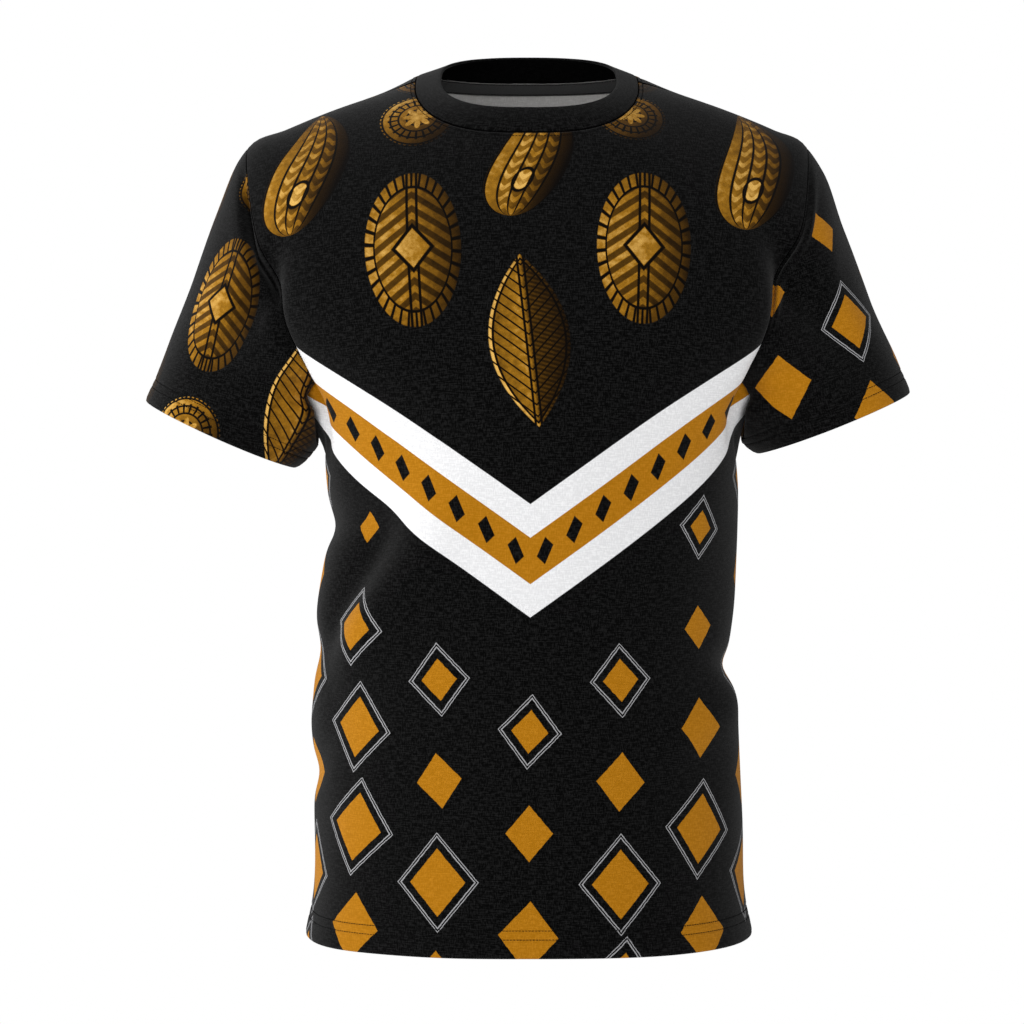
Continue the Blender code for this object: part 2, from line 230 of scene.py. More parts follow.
def wave_rise(angles, heights):
    """The body's gentle unevenness, none at the seam round the neck."""
    across = np.radians(angles) * BODY_RADIUS
    rise = np.zeros_like(heights)
    for wave in BODY_WAVES:
        rise += wave.rise * np.sin(2 * np.pi * (wave.across * across + wave.down * heights) + wave.phase)
    return rise


def spaced(first, last, count, length, at_first=True, at_last=True):
    """Evenly spaced values along a length, with extra ones close to each end that a seam runs along."""
    values = np.linspace(first, last, count + 1)
    near = np.array(SEAM_STEPS) / length * (last - first)
    extra = []
    if at_first:
        extra.append(first + near)
    if at_last:
        extra.append(last - near)
    inner = values[1:-1]
    span = abs(near[-1]) * 1.3
    if at_first:
        inner = inner[np.abs(inner - first) > span]
    if at_last:
        inner = inner[np.abs(inner - last) > span]
    return np.sort(np.concatenate([[first, last], inner] + extra))


def panel_places():
    """Places of a panel's rows: down the shoulder, down the armhole, down the side and the hem."""
    shoulder = spaced(0, SHOULDER_RING, SHOULDER_ROWS, SHOULDER_LENGTH, True, False)
    armhole = spaced(SHOULDER_RING, ARMPIT_RING, ARMHOLE_ROWS, ARMHOLE_LENGTH)
    bottom = RINGS[-1].side
    heights = np.linspace(RINGS[ARMPIT_RING].side, bottom + HEM_DEPTH, SIDE_ROWS + 1)
    turned = np.linspace(bottom + HEM_DEPTH, bottom + HEM_WALL / 2, HEM_ROWS + 1)
    heights = np.concatenate([heights[1:], turned[1:]])
    return np.concatenate([shoulder[:-1], armhole, np.interp(-heights, -side_rings[:, 0], side_places)])


def armhole_reach(places, widest):
    """Degrees from the side line to the armhole's edge at each place, none above and below it."""
    share = np.clip((places - SHOULDER_RING) / (ARMPIT_RING - SHOULDER_RING), 0, 1)
    return widest * np.sin(np.pi * share) ** ARMHOLE_BLUNTNESS


def panel_skin(places, first_angle, widest, creased):
    """A panel's skin from one side line to the other, over the 180 degrees from first_angle on."""
    reach = armhole_reach(places, widest)
    share = spaced(0, 1, COLUMNS, BODY_WIDTH)
    angles = first_angle + reach[:, None] + (180 - 2 * reach[:, None]) * share
    rows = []
    for place, row_angles in zip(places, angles):
        points, out = ring_points(ring_at(place), row_angles)
        if creased:
            rise = crease_rise(BODY_CREASES, row_angles, points[:, 2], BODY_RADIUS)
            rise += wave_rise(row_angles, points[:, 2])
            points = points + out * (rise * smooth_step(0, NECK_HOLD, place))[:, None]
        rows.append(points)
    return np.array(rows)


def grid_normals(skin, closed):
    """Outward directions at every point of a skin whose rows run down and columns round, anticlockwise."""
    if closed:
        wrapped = np.concatenate([skin[:, -1:], skin, skin[:, :1]], axis=1)
        across = (wrapped[:, 2:] - wrapped[:, :-2]) / 2
    else:
        across = np.gradient(skin, axis=1)
    normals = np.cross(np.gradient(skin, axis=0), across)
    return normals / np.linalg.norm(normals, axis=-1, keepdims=True)


def run_along(points, axis=0):
    """How far each point lies from the first along a line of points, or along either way of a grid."""
    steps = np.linalg.norm(np.diff(points, axis=axis), axis=-1)
    start = np.zeros_like(steps.take([0], axis=axis))
    return np.concatenate([start, np.cumsum(steps, axis=axis)], axis=axis)


def seam_sink(skin, closed):
    """How deep each point of a skin sinks into the seams along its top and, unless closed, its sides."""
    off = run_along(skin)
    if not closed:
        across = run_along(skin, 1)
        off = np.minimum(off, np.minimum(across, across[:, -1:] - across))
    share = np.clip(1 - off / SEAM_ROLL, 0, 1)
    return SEAM_DEPTH * (1 - np.sqrt(1 - share ** 2))


def area_of(grid):
    """The area of a skin or of a flat cut, in square metres, from the diagonals of its faces."""
    if grid.shape[-1] == 2:
        grid = np.dstack([grid, np.zeros(grid.shape[:2])])
    one, two = grid[1:, 1:] - grid[:-1, :-1], grid[:-1, 1:] - grid[1:, :-1]
    return float(np.linalg.norm(np.cross(one, two), axis=-1).sum() / 2)


def flat_cut(skin):
    """A skin unrolled flat, as the cloth was cut: u across and v up, in metres."""
    rows, columns = skin.shape[:2]
    number = np.arange(rows * columns).reshape(rows, columns)
    faces = np.stack([number[:-1, :-1], number[1:, :-1], number[1:, 1:], number[:-1, 1:]], axis=-1)
    faces = faces.reshape(-1, 4)
    mesh = bpy.data.meshes.new("flat_cut")
    mesh.from_pydata(skin.reshape(-1, 3).tolist(), [], faces.tolist())
    mesh.uv_layers.new(name="cut")
    paper = in_scene("flat_cut", mesh)
    bpy.context.view_layer.objects.active = paper
    bpy.ops.object.mode_set(mode="EDIT")
    bpy.ops.mesh.select_all(action="SELECT")
    bpy.ops.uv.unwrap(method="CONFORMAL", margin=0.0)
    bpy.ops.object.mode_set(mode="OBJECT")
    found = np.zeros(len(mesh.loops) * 2)
    mesh.uv_layers[0].data.foreach_get("uv", found)
    flat = np.zeros((rows * columns, 2))
    flat[faces.ravel()] = found.reshape(-1, 2)
    flat = flat.reshape(rows, columns, 2)
    bpy.data.objects.remove(paper)
    bpy.data.meshes.remove(mesh)
    middle = columns // 2
    down = flat[-1, middle] - flat[0, middle]
    scale = np.sqrt(area_of(skin) / area_of(flat))
    down /= np.linalg.norm(down)
    across = np.array([-down[1], down[0]])
    moved = (flat - flat[0, middle]) * scale
    flat = np.stack([moved @ across, -(moved @ down)], axis=-1)
    if flat[rows // 2, -1, 0] < flat[rows // 2, 0, 0]:
        flat[:, :, 0] *= -1
    return flat


def cloth_piece(name, outside, inside, flat, turned, closed, materials):
    """A wall of cloth between two skins, with its free bottom edge rounded and its other edges closed.

    flat is the cut that its pattern is drawn on. turned is how many rows of the inside, from its bottom
    edge up, show the right side of the cloth, because they are the part that is turned up. materials are
    the right side, the inside and a darker strip without sheen along the seams: painted shade in the seams.
    """
    rows, columns = outside.shape[:2]
    middle = (outside[-1] + inside[-1]) / 2
    half = (outside[-1] - inside[-1]) / 2
    down = outside[-1] - outside[-2]
    down /= np.linalg.norm(down, axis=-1, keepdims=True)
    radius = np.linalg.norm(half, axis=-1, keepdims=True)
    drop = flat[-1] - flat[-2]
    drop /= np.linalg.norm(drop, axis=-1, keepdims=True)
    grid, cut = list(outside), list(flat)
    for turn in np.linspace(0, np.pi, EDGE_STEPS + 1)[1:-1]:
        grid.append(middle + half * np.cos(turn) + down * radius * np.sin(turn))
        cut.append(flat[-1] + drop * radius * turn)
    lowest = flat[-1] + drop * radius * np.pi
    for back in range(rows):
        grid.append(inside[rows - 1 - back])
        below = flat[-1] - flat[rows - 1 - back]
        cut.append(lowest + below if back < turned else flat[rows - 1 - back])
    grid, cut = np.array(grid), np.array(cut)
    total = len(grid)
    number = np.arange(total * columns).reshape(total, columns)
    after = np.roll(number, -1, axis=1) if closed else number[:, 1:]
    here = number if closed else number[:, :-1]
    quads = np.stack([here[:-1], here[1:], after[1:], after[:-1]], axis=-1)
    slots = np.zeros(quads.shape[:2], int)
    slots[rows + EDGE_STEPS - 1 + turned:] = 1
    # The rows along the seams take the third finish: painted shade where the cloth rolls into its seams
    if len(materials) > 2:
        slots[:PAINTED_SHADE_ROWS] = 2
        if not closed:
            slots[:rows - 1, :PAINTED_SHADE_ROWS] = 2
            slots[:rows - 1, -PAINTED_SHADE_ROWS:] = 2
    faces = quads.reshape(-1, 4).tolist()
    slots = slots.ravel().tolist()
    tops = np.stack([here[0], after[0], after[-1], here[-1]], axis=-1)
    rims = tops.tolist()
    if not closed:
        for side, way in ((0, 1), (-1, -1)):
            edge, mirror = number[:, side], number[::-1, side]
            rim = np.stack([edge[:rows - 1], mirror[:rows - 1], mirror[1:rows], edge[1:rows]], axis=-1)
            rims += rim[:, ::way].tolist()
            rims.append(edge[rows - 1:total - rows + 1][::-way].tolist())
    faces += rims
    slots += [0] * len(rims)
    mesh = bpy.data.meshes.new(name)
    mesh.from_pydata(grid.reshape(-1, 3).tolist(), [], faces)
    layer = mesh.uv_layers.new(name="cut")
    corners = np.zeros(len(mesh.loops), int)
    mesh.loops.foreach_get("vertex_index", corners)
    layer.data.foreach_set("uv", cut.reshape(-1, 2)[corners].ravel())
    for material in materials:
        mesh.materials.append(material)
    mesh.polygons.foreach_set("material_index", slots)
    mesh.shade_smooth()
    piece = in_scene(name, mesh)
    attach(piece, "root")
    return piece


def sum_of(operation, turned=False):
    """A sum that a value does with what it is given, turned round if that stands in front of it."""
    def work(value, *others):
        return maths(operation, *((*others, value) if turned else (value, *others)))
    return work


class Value:
    """What comes out of a node's socket. Sums done with it add the nodes that work them out."""

    def __init__(self, socket):
        self.socket = socket
        self.tree = socket.id_data

    __add__, __sub__, __mul__ = sum_of("ADD"), sum_of("SUBTRACT"), sum_of("MULTIPLY")
    __truediv__, __pow__, __abs__ = sum_of("DIVIDE"), sum_of("POWER"), sum_of("ABSOLUTE")
    __radd__, __rsub__ = sum_of("ADD", True), sum_of("SUBTRACT", True)


def worked(tree, kind, inputs=None, output=0, **settings):
    """Adds a node with its settings and its inputs, by name or number, and gives what comes out of it."""
    node = tree.nodes.new(kind)
    for name, setting in settings.items():
        setattr(node, name, setting)
    for key, value in (inputs or {}).items():
        if isinstance(value, Value):
            tree.links.new(value.socket, node.inputs[key])
        else:
            node.inputs[key].default_value = value
    return Value(node.outputs[output])


def maths(operation, *values):
    """What a maths node makes of values and numbers."""
    tree = next(value.tree for value in values if isinstance(value, Value))
    return worked(tree, "ShaderNodeMath", dict(enumerate(values)), operation=operation)


fract, floor, sine, cosine, least, most = (
    partial(maths, operation) for operation in ("FRACT", "FLOOR", "SINE", "COSINE", "MINIMUM", "MAXIMUM")
)


def ramp(value, low, high):
    """0 where value is low, 1 where it is high, and smooth between. low may be above high."""
    ends = {"Value": value, "From Min": low, "From Max": high}
    return worked(value.tree, "ShaderNodeMapRange", ends, interpolation_type="SMOOTHSTEP")


def grooves(value, low, high):
    """0 along lines where value is halfway between whole numbers, and 1 away from them."""
    return ramp(abs(fract(value) - 0.5), low, high)


def mixed(share, one, other):
    """One colour turning into another as share goes from 0 to 1. A plain number is a grey."""
    tree = next(value.tree for value in (share, one, other) if isinstance(value, Value))
    ends = []
    for colour in (one, other):
        if isinstance(colour, float):
            colour = (colour, colour, colour)
        ends.append((*colour, 1.0) if isinstance(colour, tuple) else colour)
    return worked(tree, "ShaderNodeMix", {0: share, 6: ends[0], 7: ends[1]}, 2, data_type="RGBA")


def split(vector, count=2):
    """The first parts of a vector."""
    first = worked(vector.tree, "ShaderNodeSeparateXYZ", {0: vector})
    return [Value(socket) for socket in first.socket.node.outputs[:count]]


def joined(x, y, z=0.0):
    """A vector of its parts, the first of them a value."""
    return worked(x.tree, "ShaderNodeCombineXYZ", {0: x, 1: y, 2: z})


def noise(vector, scale_x, scale_y, detail):
    """A noise stretched by its two scales, in features for each metre."""
    spread = worked(vector.tree, "ShaderNodeMapping", {"Vector": vector, "Scale": (scale_x, scale_y, 1.0)})
    inputs = {"Vector": spread, "Scale": 1.0, "Detail": detail, "Roughness": 0.6}
    return worked(vector.tree, "ShaderNodeTexNoise", inputs, "Fac")


VECTOR = "NodeSocketVector"
SOCKET_KINDS = {
    "VALUE": "NodeSocketFloat", "VECTOR": VECTOR, "RGBA": "NodeSocketColor", "GEOMETRY": "NodeSocketGeometry",
}


def new_group(name, tree_kind="ShaderNodeTree", **inputs):
    """An empty node group and its inputs by name. Each is given as a number or as a kind of socket."""
    tree = bpy.data.node_groups.new(name, tree_kind)
    for label, value in inputs.items():
        if isinstance(value, str):
            tree.interface.new_socket(label, in_out="INPUT", socket_type=value)
        else:
            number = tree.interface.new_socket(label, in_out="INPUT", socket_type="NodeSocketFloat")
            number.default_value = value
    entry = tree.nodes.new("NodeGroupInput")
    return tree, {label: Value(entry.outputs[label]) for label in inputs}


def give_out(tree, **results):
    """Ends a node group with what it gives out, by name."""
    for label, value in results.items():
        tree.interface.new_socket(label, in_out="OUTPUT", socket_type=SOCKET_KINDS[value.socket.type])
    leave = tree.nodes.new("NodeGroupOutput")
    for label, value in results.items():
        tree.links.new(value.socket, leave.inputs[label])


def put_group(tree, group, **inputs):
    """A shader group placed in a tree with its inputs, and what it gives out by name."""
    first = worked(tree, "ShaderNodeGroup", inputs, node_tree=group)
    return {socket.name: Value(socket) for socket in first.socket.node.outputs}


# Jersey: fine columns of knit loops, and slubs, the thicker bits of yarn that lie across and down the cloth
knit, got = new_group("knit", Cut=VECTOR, Wale=0.0009, Course=0.0007)
u, v = split(got["Cut"])
across_slub = noise(got["Cut"], 140.0, 1000.0, 1.0)
upright_slub = noise(got["Cut"], 1050.0, 250.0, 1.0)
slub = ramp(across_slub * 0.5 + upright_slub * 0.5, 0.43, 0.63)
column = fract(u / got["Wale"])
ridge = sine(column * np.pi)
slant = abs(column - 0.5)
loop = sine((v / got["Course"] + slant) * (2 * np.pi))
give_out(knit, Slub=slub, Height=ridge + loop * 0.35 + slub * 0.8)

# The print's lattice: cells in columns, every second one half a cell lower. Each cell gives the place in it,
# measured from its middle, where its middle is, which of four kinds it is, and a chance value of its own.
lattice, got = new_group("lattice", Cut=VECTOR, Width=0.1, Height=0.1, Tilt=0.2)
u, v = split(got["Cut"])
across = u / got["Width"]
column = floor(across)
down = v / got["Height"] + column * 0.5
row = floor(down)
x = (across - column - 0.5) * got["Width"]
y = (down - row - 0.5) * got["Height"]
chance = worked(lattice, "ShaderNodeTexWhiteNoise", {"Vector": joined(column, row)}, noise_dimensions="2D")
turn = (chance - 0.5) * got["Tilt"]
along, aside = cosine(turn), sine(turn)
give_out(
    lattice, Place=joined(x * along - y * aside, x * aside + y * along), Middle=joined(u - x, v - y),
    Kind=maths("FLOORED_MODULO", column + row * 2.0, 4.0), Chance=chance,
)

# Four gold motifs, each on a place in units of its half height: a veined leaf, a pair of rayed discs, a drop
# and an oval with rows of chevrons. Each gives out its shape and how light its gold is.
leaf, got = new_group("leaf", Place=VECTOR)
x, y = split(got["Place"])
side = abs(x)
wide = (1.0 - y * y) * 0.46
inward = wide - side
vein = grooves(y * 7.5 - side * 7.0, 0.03, 0.13)
rib = ramp(abs(side - 0.035), 0.006, 0.018)
border = ramp(abs(inward - 0.055), 0.006, 0.018)
hatch = ramp(sine((y + side * 0.4) * 120.0), -0.6, 0.6)
lit = 0.74 - ramp(x, -0.05, 0.05) * 0.34
lit = lit - side / most(wide, 0.02) * 0.22
lit = lit - hatch * ramp(x, 0.0, 0.02) * 0.12
lit = lit + ramp(inward, 0.05, 0.04) * (0.22 - x * 0.6)
give_out(leaf, Shape=ramp(inward, 0.0, 0.015), Tone=lit * (vein * rib * border))

disc, got = new_group("disc", Place=VECTOR)
x, y = split(got["Place"])
y = (abs(y) - 0.50) * maths("SIGN", y)
x, y = x * 1.14, y * 1.14
reach = maths("SQRT", x * x + y * y)
turn = maths("ARCTAN2", y, x) / (2 * np.pi)
rings = grooves(reach * 9.0, 0.05, 0.17)
rays = grooves(turn * 22.0, 0.10, 0.20)
teeth = grooves(turn * 44.0, 0.1, 0.3)
petal = abs(cosine(turn * (8 * np.pi)))
star = ramp(0.10 + petal * 0.14 - reach, 0.0, 0.03)
in_rays = ramp(reach, 0.28, 0.30) * ramp(reach, 0.43, 0.41)
tone = (0.50 + (y - x) * 0.50) * rings * (1.0 - in_rays * (1.0 - rays))
tone = tone * (1.0 - star) + star * 0.78
give_out(disc, Shape=ramp(0.50 + teeth * 0.035 - reach, 0.0, 0.015), Tone=tone)

drop, got = new_group("drop", Place=VECTOR)
x, y = split(got["Place"])
x = x - sine((y + 0.2) * 2.1) * 0.20
side = abs(x)
wide = most(0.95 - y, 0.0) ** 0.9 * most(0.80 + y, 0.0) ** 0.5 * 0.52
share = side / most(wide, 0.02)
lines = grooves(share * 2.6, 0.03, 0.12)
scale = sine(y * 42.0 + cosine(x * 34.0) * 1.6)
scale = ramp(scale, -0.2, 0.5) * ramp(share, 0.58, 0.52)
seed = (x / 0.11) ** 2.0 + ((y + 0.33) / 0.15) ** 2.0
seed_edge = ramp(abs(seed - 1.0), 0.12, 0.35)
lit = 0.50 - x * 0.9 - share * 0.14 + scale * 0.22 + ramp(seed, 1.0, 0.7) * 0.30
give_out(drop, Shape=ramp(wide - side, 0.0, 0.015), Tone=lit * lines * seed_edge)

oval, got = new_group("oval", Place=VECTOR)
x, y = split(got["Place"])
side = abs(x)
reach = maths("SQRT", (side / 0.55) ** 2.0 + (y / 0.94) ** 2.0)
turn = maths("ARCTAN2", y / 0.94, x / 0.55) / (2 * np.pi)
rows = 0.50 + ramp(sine((y + side * 0.75) * 36.0), -0.4, 0.4) * 0.50
in_rim = ramp(reach, 0.80, 0.81)
carved = rows * (1.0 - in_rim) + grooves(turn * 34.0, 0.08, 0.20) * in_rim
spine = ramp(abs(side - 0.055), 0.008, 0.020)
groove = ramp(abs(reach - 0.80), 0.008, 0.024)
boss = side / 0.22 + abs(y) / 0.27
boss_edge = ramp(abs(boss - 1.0), 0.06, 0.16)
on_boss = ramp(boss, 1.0, 0.96)
carved = most(carved * groove * most(spine, on_boss), on_boss * 1.12)
lit = 0.68 - x * 0.52 - reach * reach * 0.20
give_out(oval, Shape=ramp(1.0 - reach, 0.0, 0.02), Tone=lit * carved * boss_edge)

# The print as a whole, on the flat cut in metres: gold motifs above a chevron sash, lozenges below it.
# Motifs and lozenges near the sash are small or left out, so that it cuts through none of them.
SASH_SLOPE = 0.72
SASH_HALF = 0.047
SASH_GOLD_HALF = 0.0195
SASH_BEAD_PITCH = 0.024
MOTIF_WIDTH = 0.088
MOTIF_HEIGHT = 0.152
MOTIF_SIZE = 0.070
LOZENGE_WIDTH = 0.076
LOZENGE_HEIGHT = 0.084
# The golds of the motifs, from dark to light, each with its tone
BRONZE = (
    (0.0, (0.002, 0.001, 0.0005)), (0.22, (0.020, 0.009, 0.001)), (0.48, (0.11, 0.048, 0.003)),
    (0.72, (0.34, 0.155, 0.010)), (1.0, (0.78, 0.46, 0.11)),
)
printed, got = new_group("print", Cut=VECTOR, Slub=0.5, Sash=1.0, Border=-0.3)


def below_sash(u, v):
    """How far below the middle of the sash a place on the cut lies."""
    return got["Border"] + abs(u) * SASH_SLOPE * got["Sash"] - v


u, v = split(got["Cut"])
down = below_sash(u, v)
cells = put_group(
    printed, lattice, Cut=joined(u + MOTIF_WIDTH / 2, v), Width=MOTIF_WIDTH, Height=MOTIF_HEIGHT, Tilt=0.26,
)
x, y = split(cells["Middle"])
free = below_sash(x - MOTIF_WIDTH / 2, y) * -1.0 - (SASH_HALF + 0.006)
size = least(most(free / 0.080, 0.05), 1.0) * MOTIF_SIZE * (1.0 - cells["Chance"] * 0.10)
place = worked(printed, "ShaderNodeVectorMath", {0: cells["Place"], 1: size}, operation="DIVIDE")
shape = tone = 0.0
for kind, motif in enumerate((leaf, disc, drop, oval)):
    made = put_group(printed, motif, Place=place)
    here = maths("COMPARE", cells["Kind"], float(kind), 0.1)
    shape = made["Shape"] * here + shape
    tone = made["Tone"] * here + tone
shape = shape * ramp(free, 0.022, 0.023)
patina = noise(got["Cut"], 160.0, 160.0, 3.0)
bronze = worked(printed, "ShaderNodeValToRGB", {0: tone * (0.62 + patina * 0.80)})
golds = bronze.socket.node.color_ramp.elements
while len(golds) < len(BRONZE):
    golds.new(0.5)
for element, (position, colour) in zip(golds, BRONZE):
    element.position = position
    element.color = (*colour, 1.0)

cells = put_group(
    printed, lattice, Cut=joined(u + LOZENGE_WIDTH / 2, v), Width=LOZENGE_WIDTH, Height=LOZENGE_HEIGHT,
    Tilt=0.30,
)
x, y = split(cells["Middle"])
depth = below_sash(x - LOZENGE_WIDTH / 2, y)
size = 0.006 + least(most(depth, 0.0), 0.30) * 0.058 + cells["Chance"] * 0.002
x, y = split(cells["Place"])
rough = noise(got["Cut"], 200.0, 200.0, 2.0)
reach = abs(x) + abs(y) * 0.85 + (rough - 0.5) * 0.0016
framed = most(maths("COMPARE", cells["Kind"], 1.0, 0.1), maths("GREATER_THAN", cells["Chance"], 0.72))
frame_lines = 0.0
for gap, half_line in ((0.0078, 0.00045), (0.0104, 0.00030)):
    line = ramp(abs(reach - size - gap), half_line + 0.0003, half_line)
    frame_lines = most(line, frame_lines)
clear = ramp(depth - size * 1.2, SASH_HALF + 0.012, SASH_HALF + 0.013)

white = ramp(abs(down), SASH_HALF, SASH_HALF - 0.0008) * got["Sash"]
gold_band = ramp(abs(down), SASH_GOLD_HALF, SASH_GOLD_HALF - 0.0007) * got["Sash"]
bead = abs((fract(abs(u) / SASH_BEAD_PITCH) - 0.5) * SASH_BEAD_PITCH) + abs(down) * 0.6

black = mixed(got["Slub"], 0.0001, (0.0096, 0.0096, 0.0097))
gold = mixed(got["Slub"], (0.40, 0.158, 0.004), (0.49, 0.200, 0.010))
colour = mixed(shape, black, bronze)
colour = mixed(ramp(size - reach, 0.0, 0.0007) * clear, colour, gold)
colour = mixed(frame_lines * framed * clear, colour, (0.36, 0.36, 0.37))
colour = mixed(white, colour, mixed(got["Slub"], (0.79, 0.79, 0.80), (0.92, 0.92, 0.93)))
colour = mixed(gold_band, colour, gold)
colour = mixed(ramp(bead, 0.0072, 0.0064) * gold_band, colour, black)
give_out(printed, Colour=colour)


def new_material(name, roughness, specular, nap=0.0):
    """An empty finish with its roughness, gloss and nap: the material, its tree and its shader."""
    material = bpy.data.materials.new(name)
    material.use_nodes = True
    shader = material.node_tree.nodes["Principled BSDF"]
    settings = (roughness, specular, nap, 0.5)
    for label, value in zip(("Roughness", "Specular IOR Level", "Sheen Weight", "Sheen Roughness"), settings):
        shader.inputs[label].default_value = value
    return material, material.node_tree, shader


def surfaced(shader, colour, height, strength, distance):
    """Gives a shader its colour, and relief of some strength and depth from a height."""
    inputs = {"Strength": strength, "Distance": distance, "Height": height}
    bump = worked(colour.tree, "ShaderNodeBump", inputs)
    for label, value in (("Base Color", colour), ("Normal", bump)):
        colour.tree.links.new(value.socket, shader.inputs[label])


def place_on_cut(tree):
    """Where a point of the cloth lies on its flat cut."""
    return worked(tree, "ShaderNodeUVMap", uv_map="cut")


# How much of the print shows through on the inside, and how far the strip along the seams is darkened:
# painted shade that stands in for the shadow in the seams
SHOW_THROUGH = 0.16
JERSEY_PAINTED_SEAM_SHADE = 0.75


def jersey_materials(name, sash, border):
    """Three finishes of one printed jersey: its right side, its bare inside, where the print shows through
    as a ghost, and a darker strip without sheen for the seams, which is painted shade."""
    made = []
    for side, nap in (("printed", 0.10), ("inside", 0.10), ("painted_seam_shade", 0.0)):
        material, tree, shader = new_material(side + "_jersey_" + name, 0.9, 0.02, nap)
        cut = place_on_cut(tree)
        cloth = put_group(tree, knit, Cut=cut)
        colour = put_group(tree, printed, Cut=cut, Slub=cloth["Slub"], Sash=sash, Border=border)["Colour"]
        if side == "inside":
            bare = mixed(cloth["Slub"], (0.60, 0.59, 0.575), (0.70, 0.69, 0.675))
            colour = mixed(SHOW_THROUGH, bare, colour)
        # Painted shade: the seam strip has no sheen and is mixed towards black, standing in for the seam's
        # shadow
        if side == "painted_seam_shade":
            colour = mixed(JERSEY_PAINTED_SEAM_SHADE, colour, 0.0005)
        surfaced(shader, colour, cloth["Height"], 0.35, 0.00015)
        made.append(material)
    return made


places = panel_places()
PANELS = {"front": (-180, ARMHOLE_FORE), "back": (0, ARMHOLE_AFT)}
panels = {name: panel_skin(places, *values, True) for name, values in PANELS.items()}
panel_normals = {name: grid_normals(skin, False) for name, skin in panels.items()}
for front_edge, back_edge in ((0, -1), (-1, 0)):
    shared = panel_normals["front"][:, front_edge] + panel_normals["back"][:, back_edge]
    seam = (places <= SHOULDER_RING) | (places >= ARMPIT_RING)
    shared /= np.linalg.norm(shared, axis=-1, keepdims=True)
    panel_normals["front"][seam, front_edge] = shared[seam]
    panel_normals["back"][seam, back_edge] = shared[seam]
# Two rows of stitches go round the hem and one round the neck, at these distances from the cloth's edges,
# and the cloth dips under them.
HEM_STITCHES = (0.0215, 0.0142)
NECK_STITCHES = (0.0040,)
STITCH_DIP = 0.00065
STITCH_DIP_WIDTH = 0.0010
STITCH_PITCH = 0.0026
# A turned-up edge is this much fuller. It swells from its first row of stitches down, is fullest from this
# share of its second row's distance on, and thins out over the taper at its end.
HEM_FULLNESS = 0.0005
FULL_SHARE = 0.7
EDGE_TAPER = 0.003


def turned_edge(skin, normals, stitch_rows, top_rows):
    """A skin with its turned-up edge fuller between its stitches and its end, and dipped under all stitches,
    whose rows lie at distances from its bottom edge and from its top edge."""
    off = run_along(skin[::-1])[::-1]
    full = smooth_step(stitch_rows[0], stitch_rows[1] * FULL_SHARE, off) * smooth_step(0.0, EDGE_TAPER, off)
    rise = HEM_FULLNESS * full
    for distance, rows in ((off, stitch_rows), (run_along(skin), top_rows)):
        for row in rows:
            rise -= STITCH_DIP * np.exp(-((distance - row) / STITCH_DIP_WIDTH) ** 2)
    return skin + normals * rise[:, :, None]


# Stitches of black thread, sewn by machine: each is one short loop of thread, laid on a row of points in
# the cloth and turned along that row
sewing, got = new_group(
    "stitch_rows", "GeometryNodeTree", Points="NodeSocketGeometry", Length=0.0022, Thread=0.00032,
    Dip=0.0003, Finish="NodeSocketMaterial",
)
arc = {"Resolution": 4}
for end, side, rise in (("Start", -1.0, -1.0), ("Middle", 0.0, 2.0), ("End", 1.0, -1.0)):
    arc[end] = joined(got["Length"] * 0.5 * side, 0.0, got["Dip"] * rise)
arc = worked(sewing, "GeometryNodeCurveQuadraticBezier", arc)
ring = worked(sewing, "GeometryNodeCurvePrimitiveCircle", {"Resolution": 5, "Radius": got["Thread"]})
loop = {"Curve": arc, "Profile Curve": ring, "Fill Caps": True}
loop = worked(sewing, "GeometryNodeCurveToMesh", loop)
turned = (0.0, 0.0, 0.0)
for axis, pivot, name in (("X", "AUTO", "along"), ("Z", "X", "out")):
    way = {"Name": name}
    way = worked(sewing, "GeometryNodeInputNamedAttribute", way, "Attribute", data_type="FLOAT_VECTOR")
    turned = {"Rotation": turned, "Vector": way}
    turned = worked(sewing, "FunctionNodeAlignRotationToVector", turned, axis=axis, pivot_axis=pivot)
laid = {"Points": got["Points"], "Instance": loop, "Rotation": turned}
laid = worked(sewing, "GeometryNodeInstanceOnPoints", laid)
sewn = worked(sewing, "GeometryNodeRealizeInstances", {0: laid})
dyed = worked(sewing, "GeometryNodeSetMaterial", {"Geometry": sewn, "Material": got["Finish"]})
give_out(sewing, Stitches=dyed)

# Black polyester thread, twisted from two strands. Its way at each stitch is taken between points this far
# before and behind.
STITCH_REACH = 0.0008
thread, tree, shader = new_material("black_thread", 0.75, 0.05)
place = worked(tree, "ShaderNodeTexCoord", output="Object")
strands = {"Vector": place, "Scale": 900.0}
strands = worked(tree, "ShaderNodeTexWave", strands, "Fac", bands_direction="DIAGONAL")
surfaced(shader, mixed(strands, 0.001, 0.006), strands, 0.4, 0.00005)


def at(distances, run, values):
    """The points or directions at distances along a line, from those of its own points."""
    return np.stack([np.interp(distances, run, part) for part in values.T], axis=-1)


def stitch_line(line, out, closed):
    """Points a stitch apart along a line on the cloth, with the way it runs and the way out of the cloth."""
    if closed:
        line, out = np.concatenate([line, line[:1]]), np.concatenate([out, out[:1]])
    run = run_along(line)
    count = int(run[-1] / STITCH_PITCH)
    middles = (np.arange(count) + 0.5) * run[-1] / count
    along = at(middles + STITCH_REACH, run, line) - at(middles - STITCH_REACH, run, line)
    return at(middles, run, line), along, at(middles, run, out)


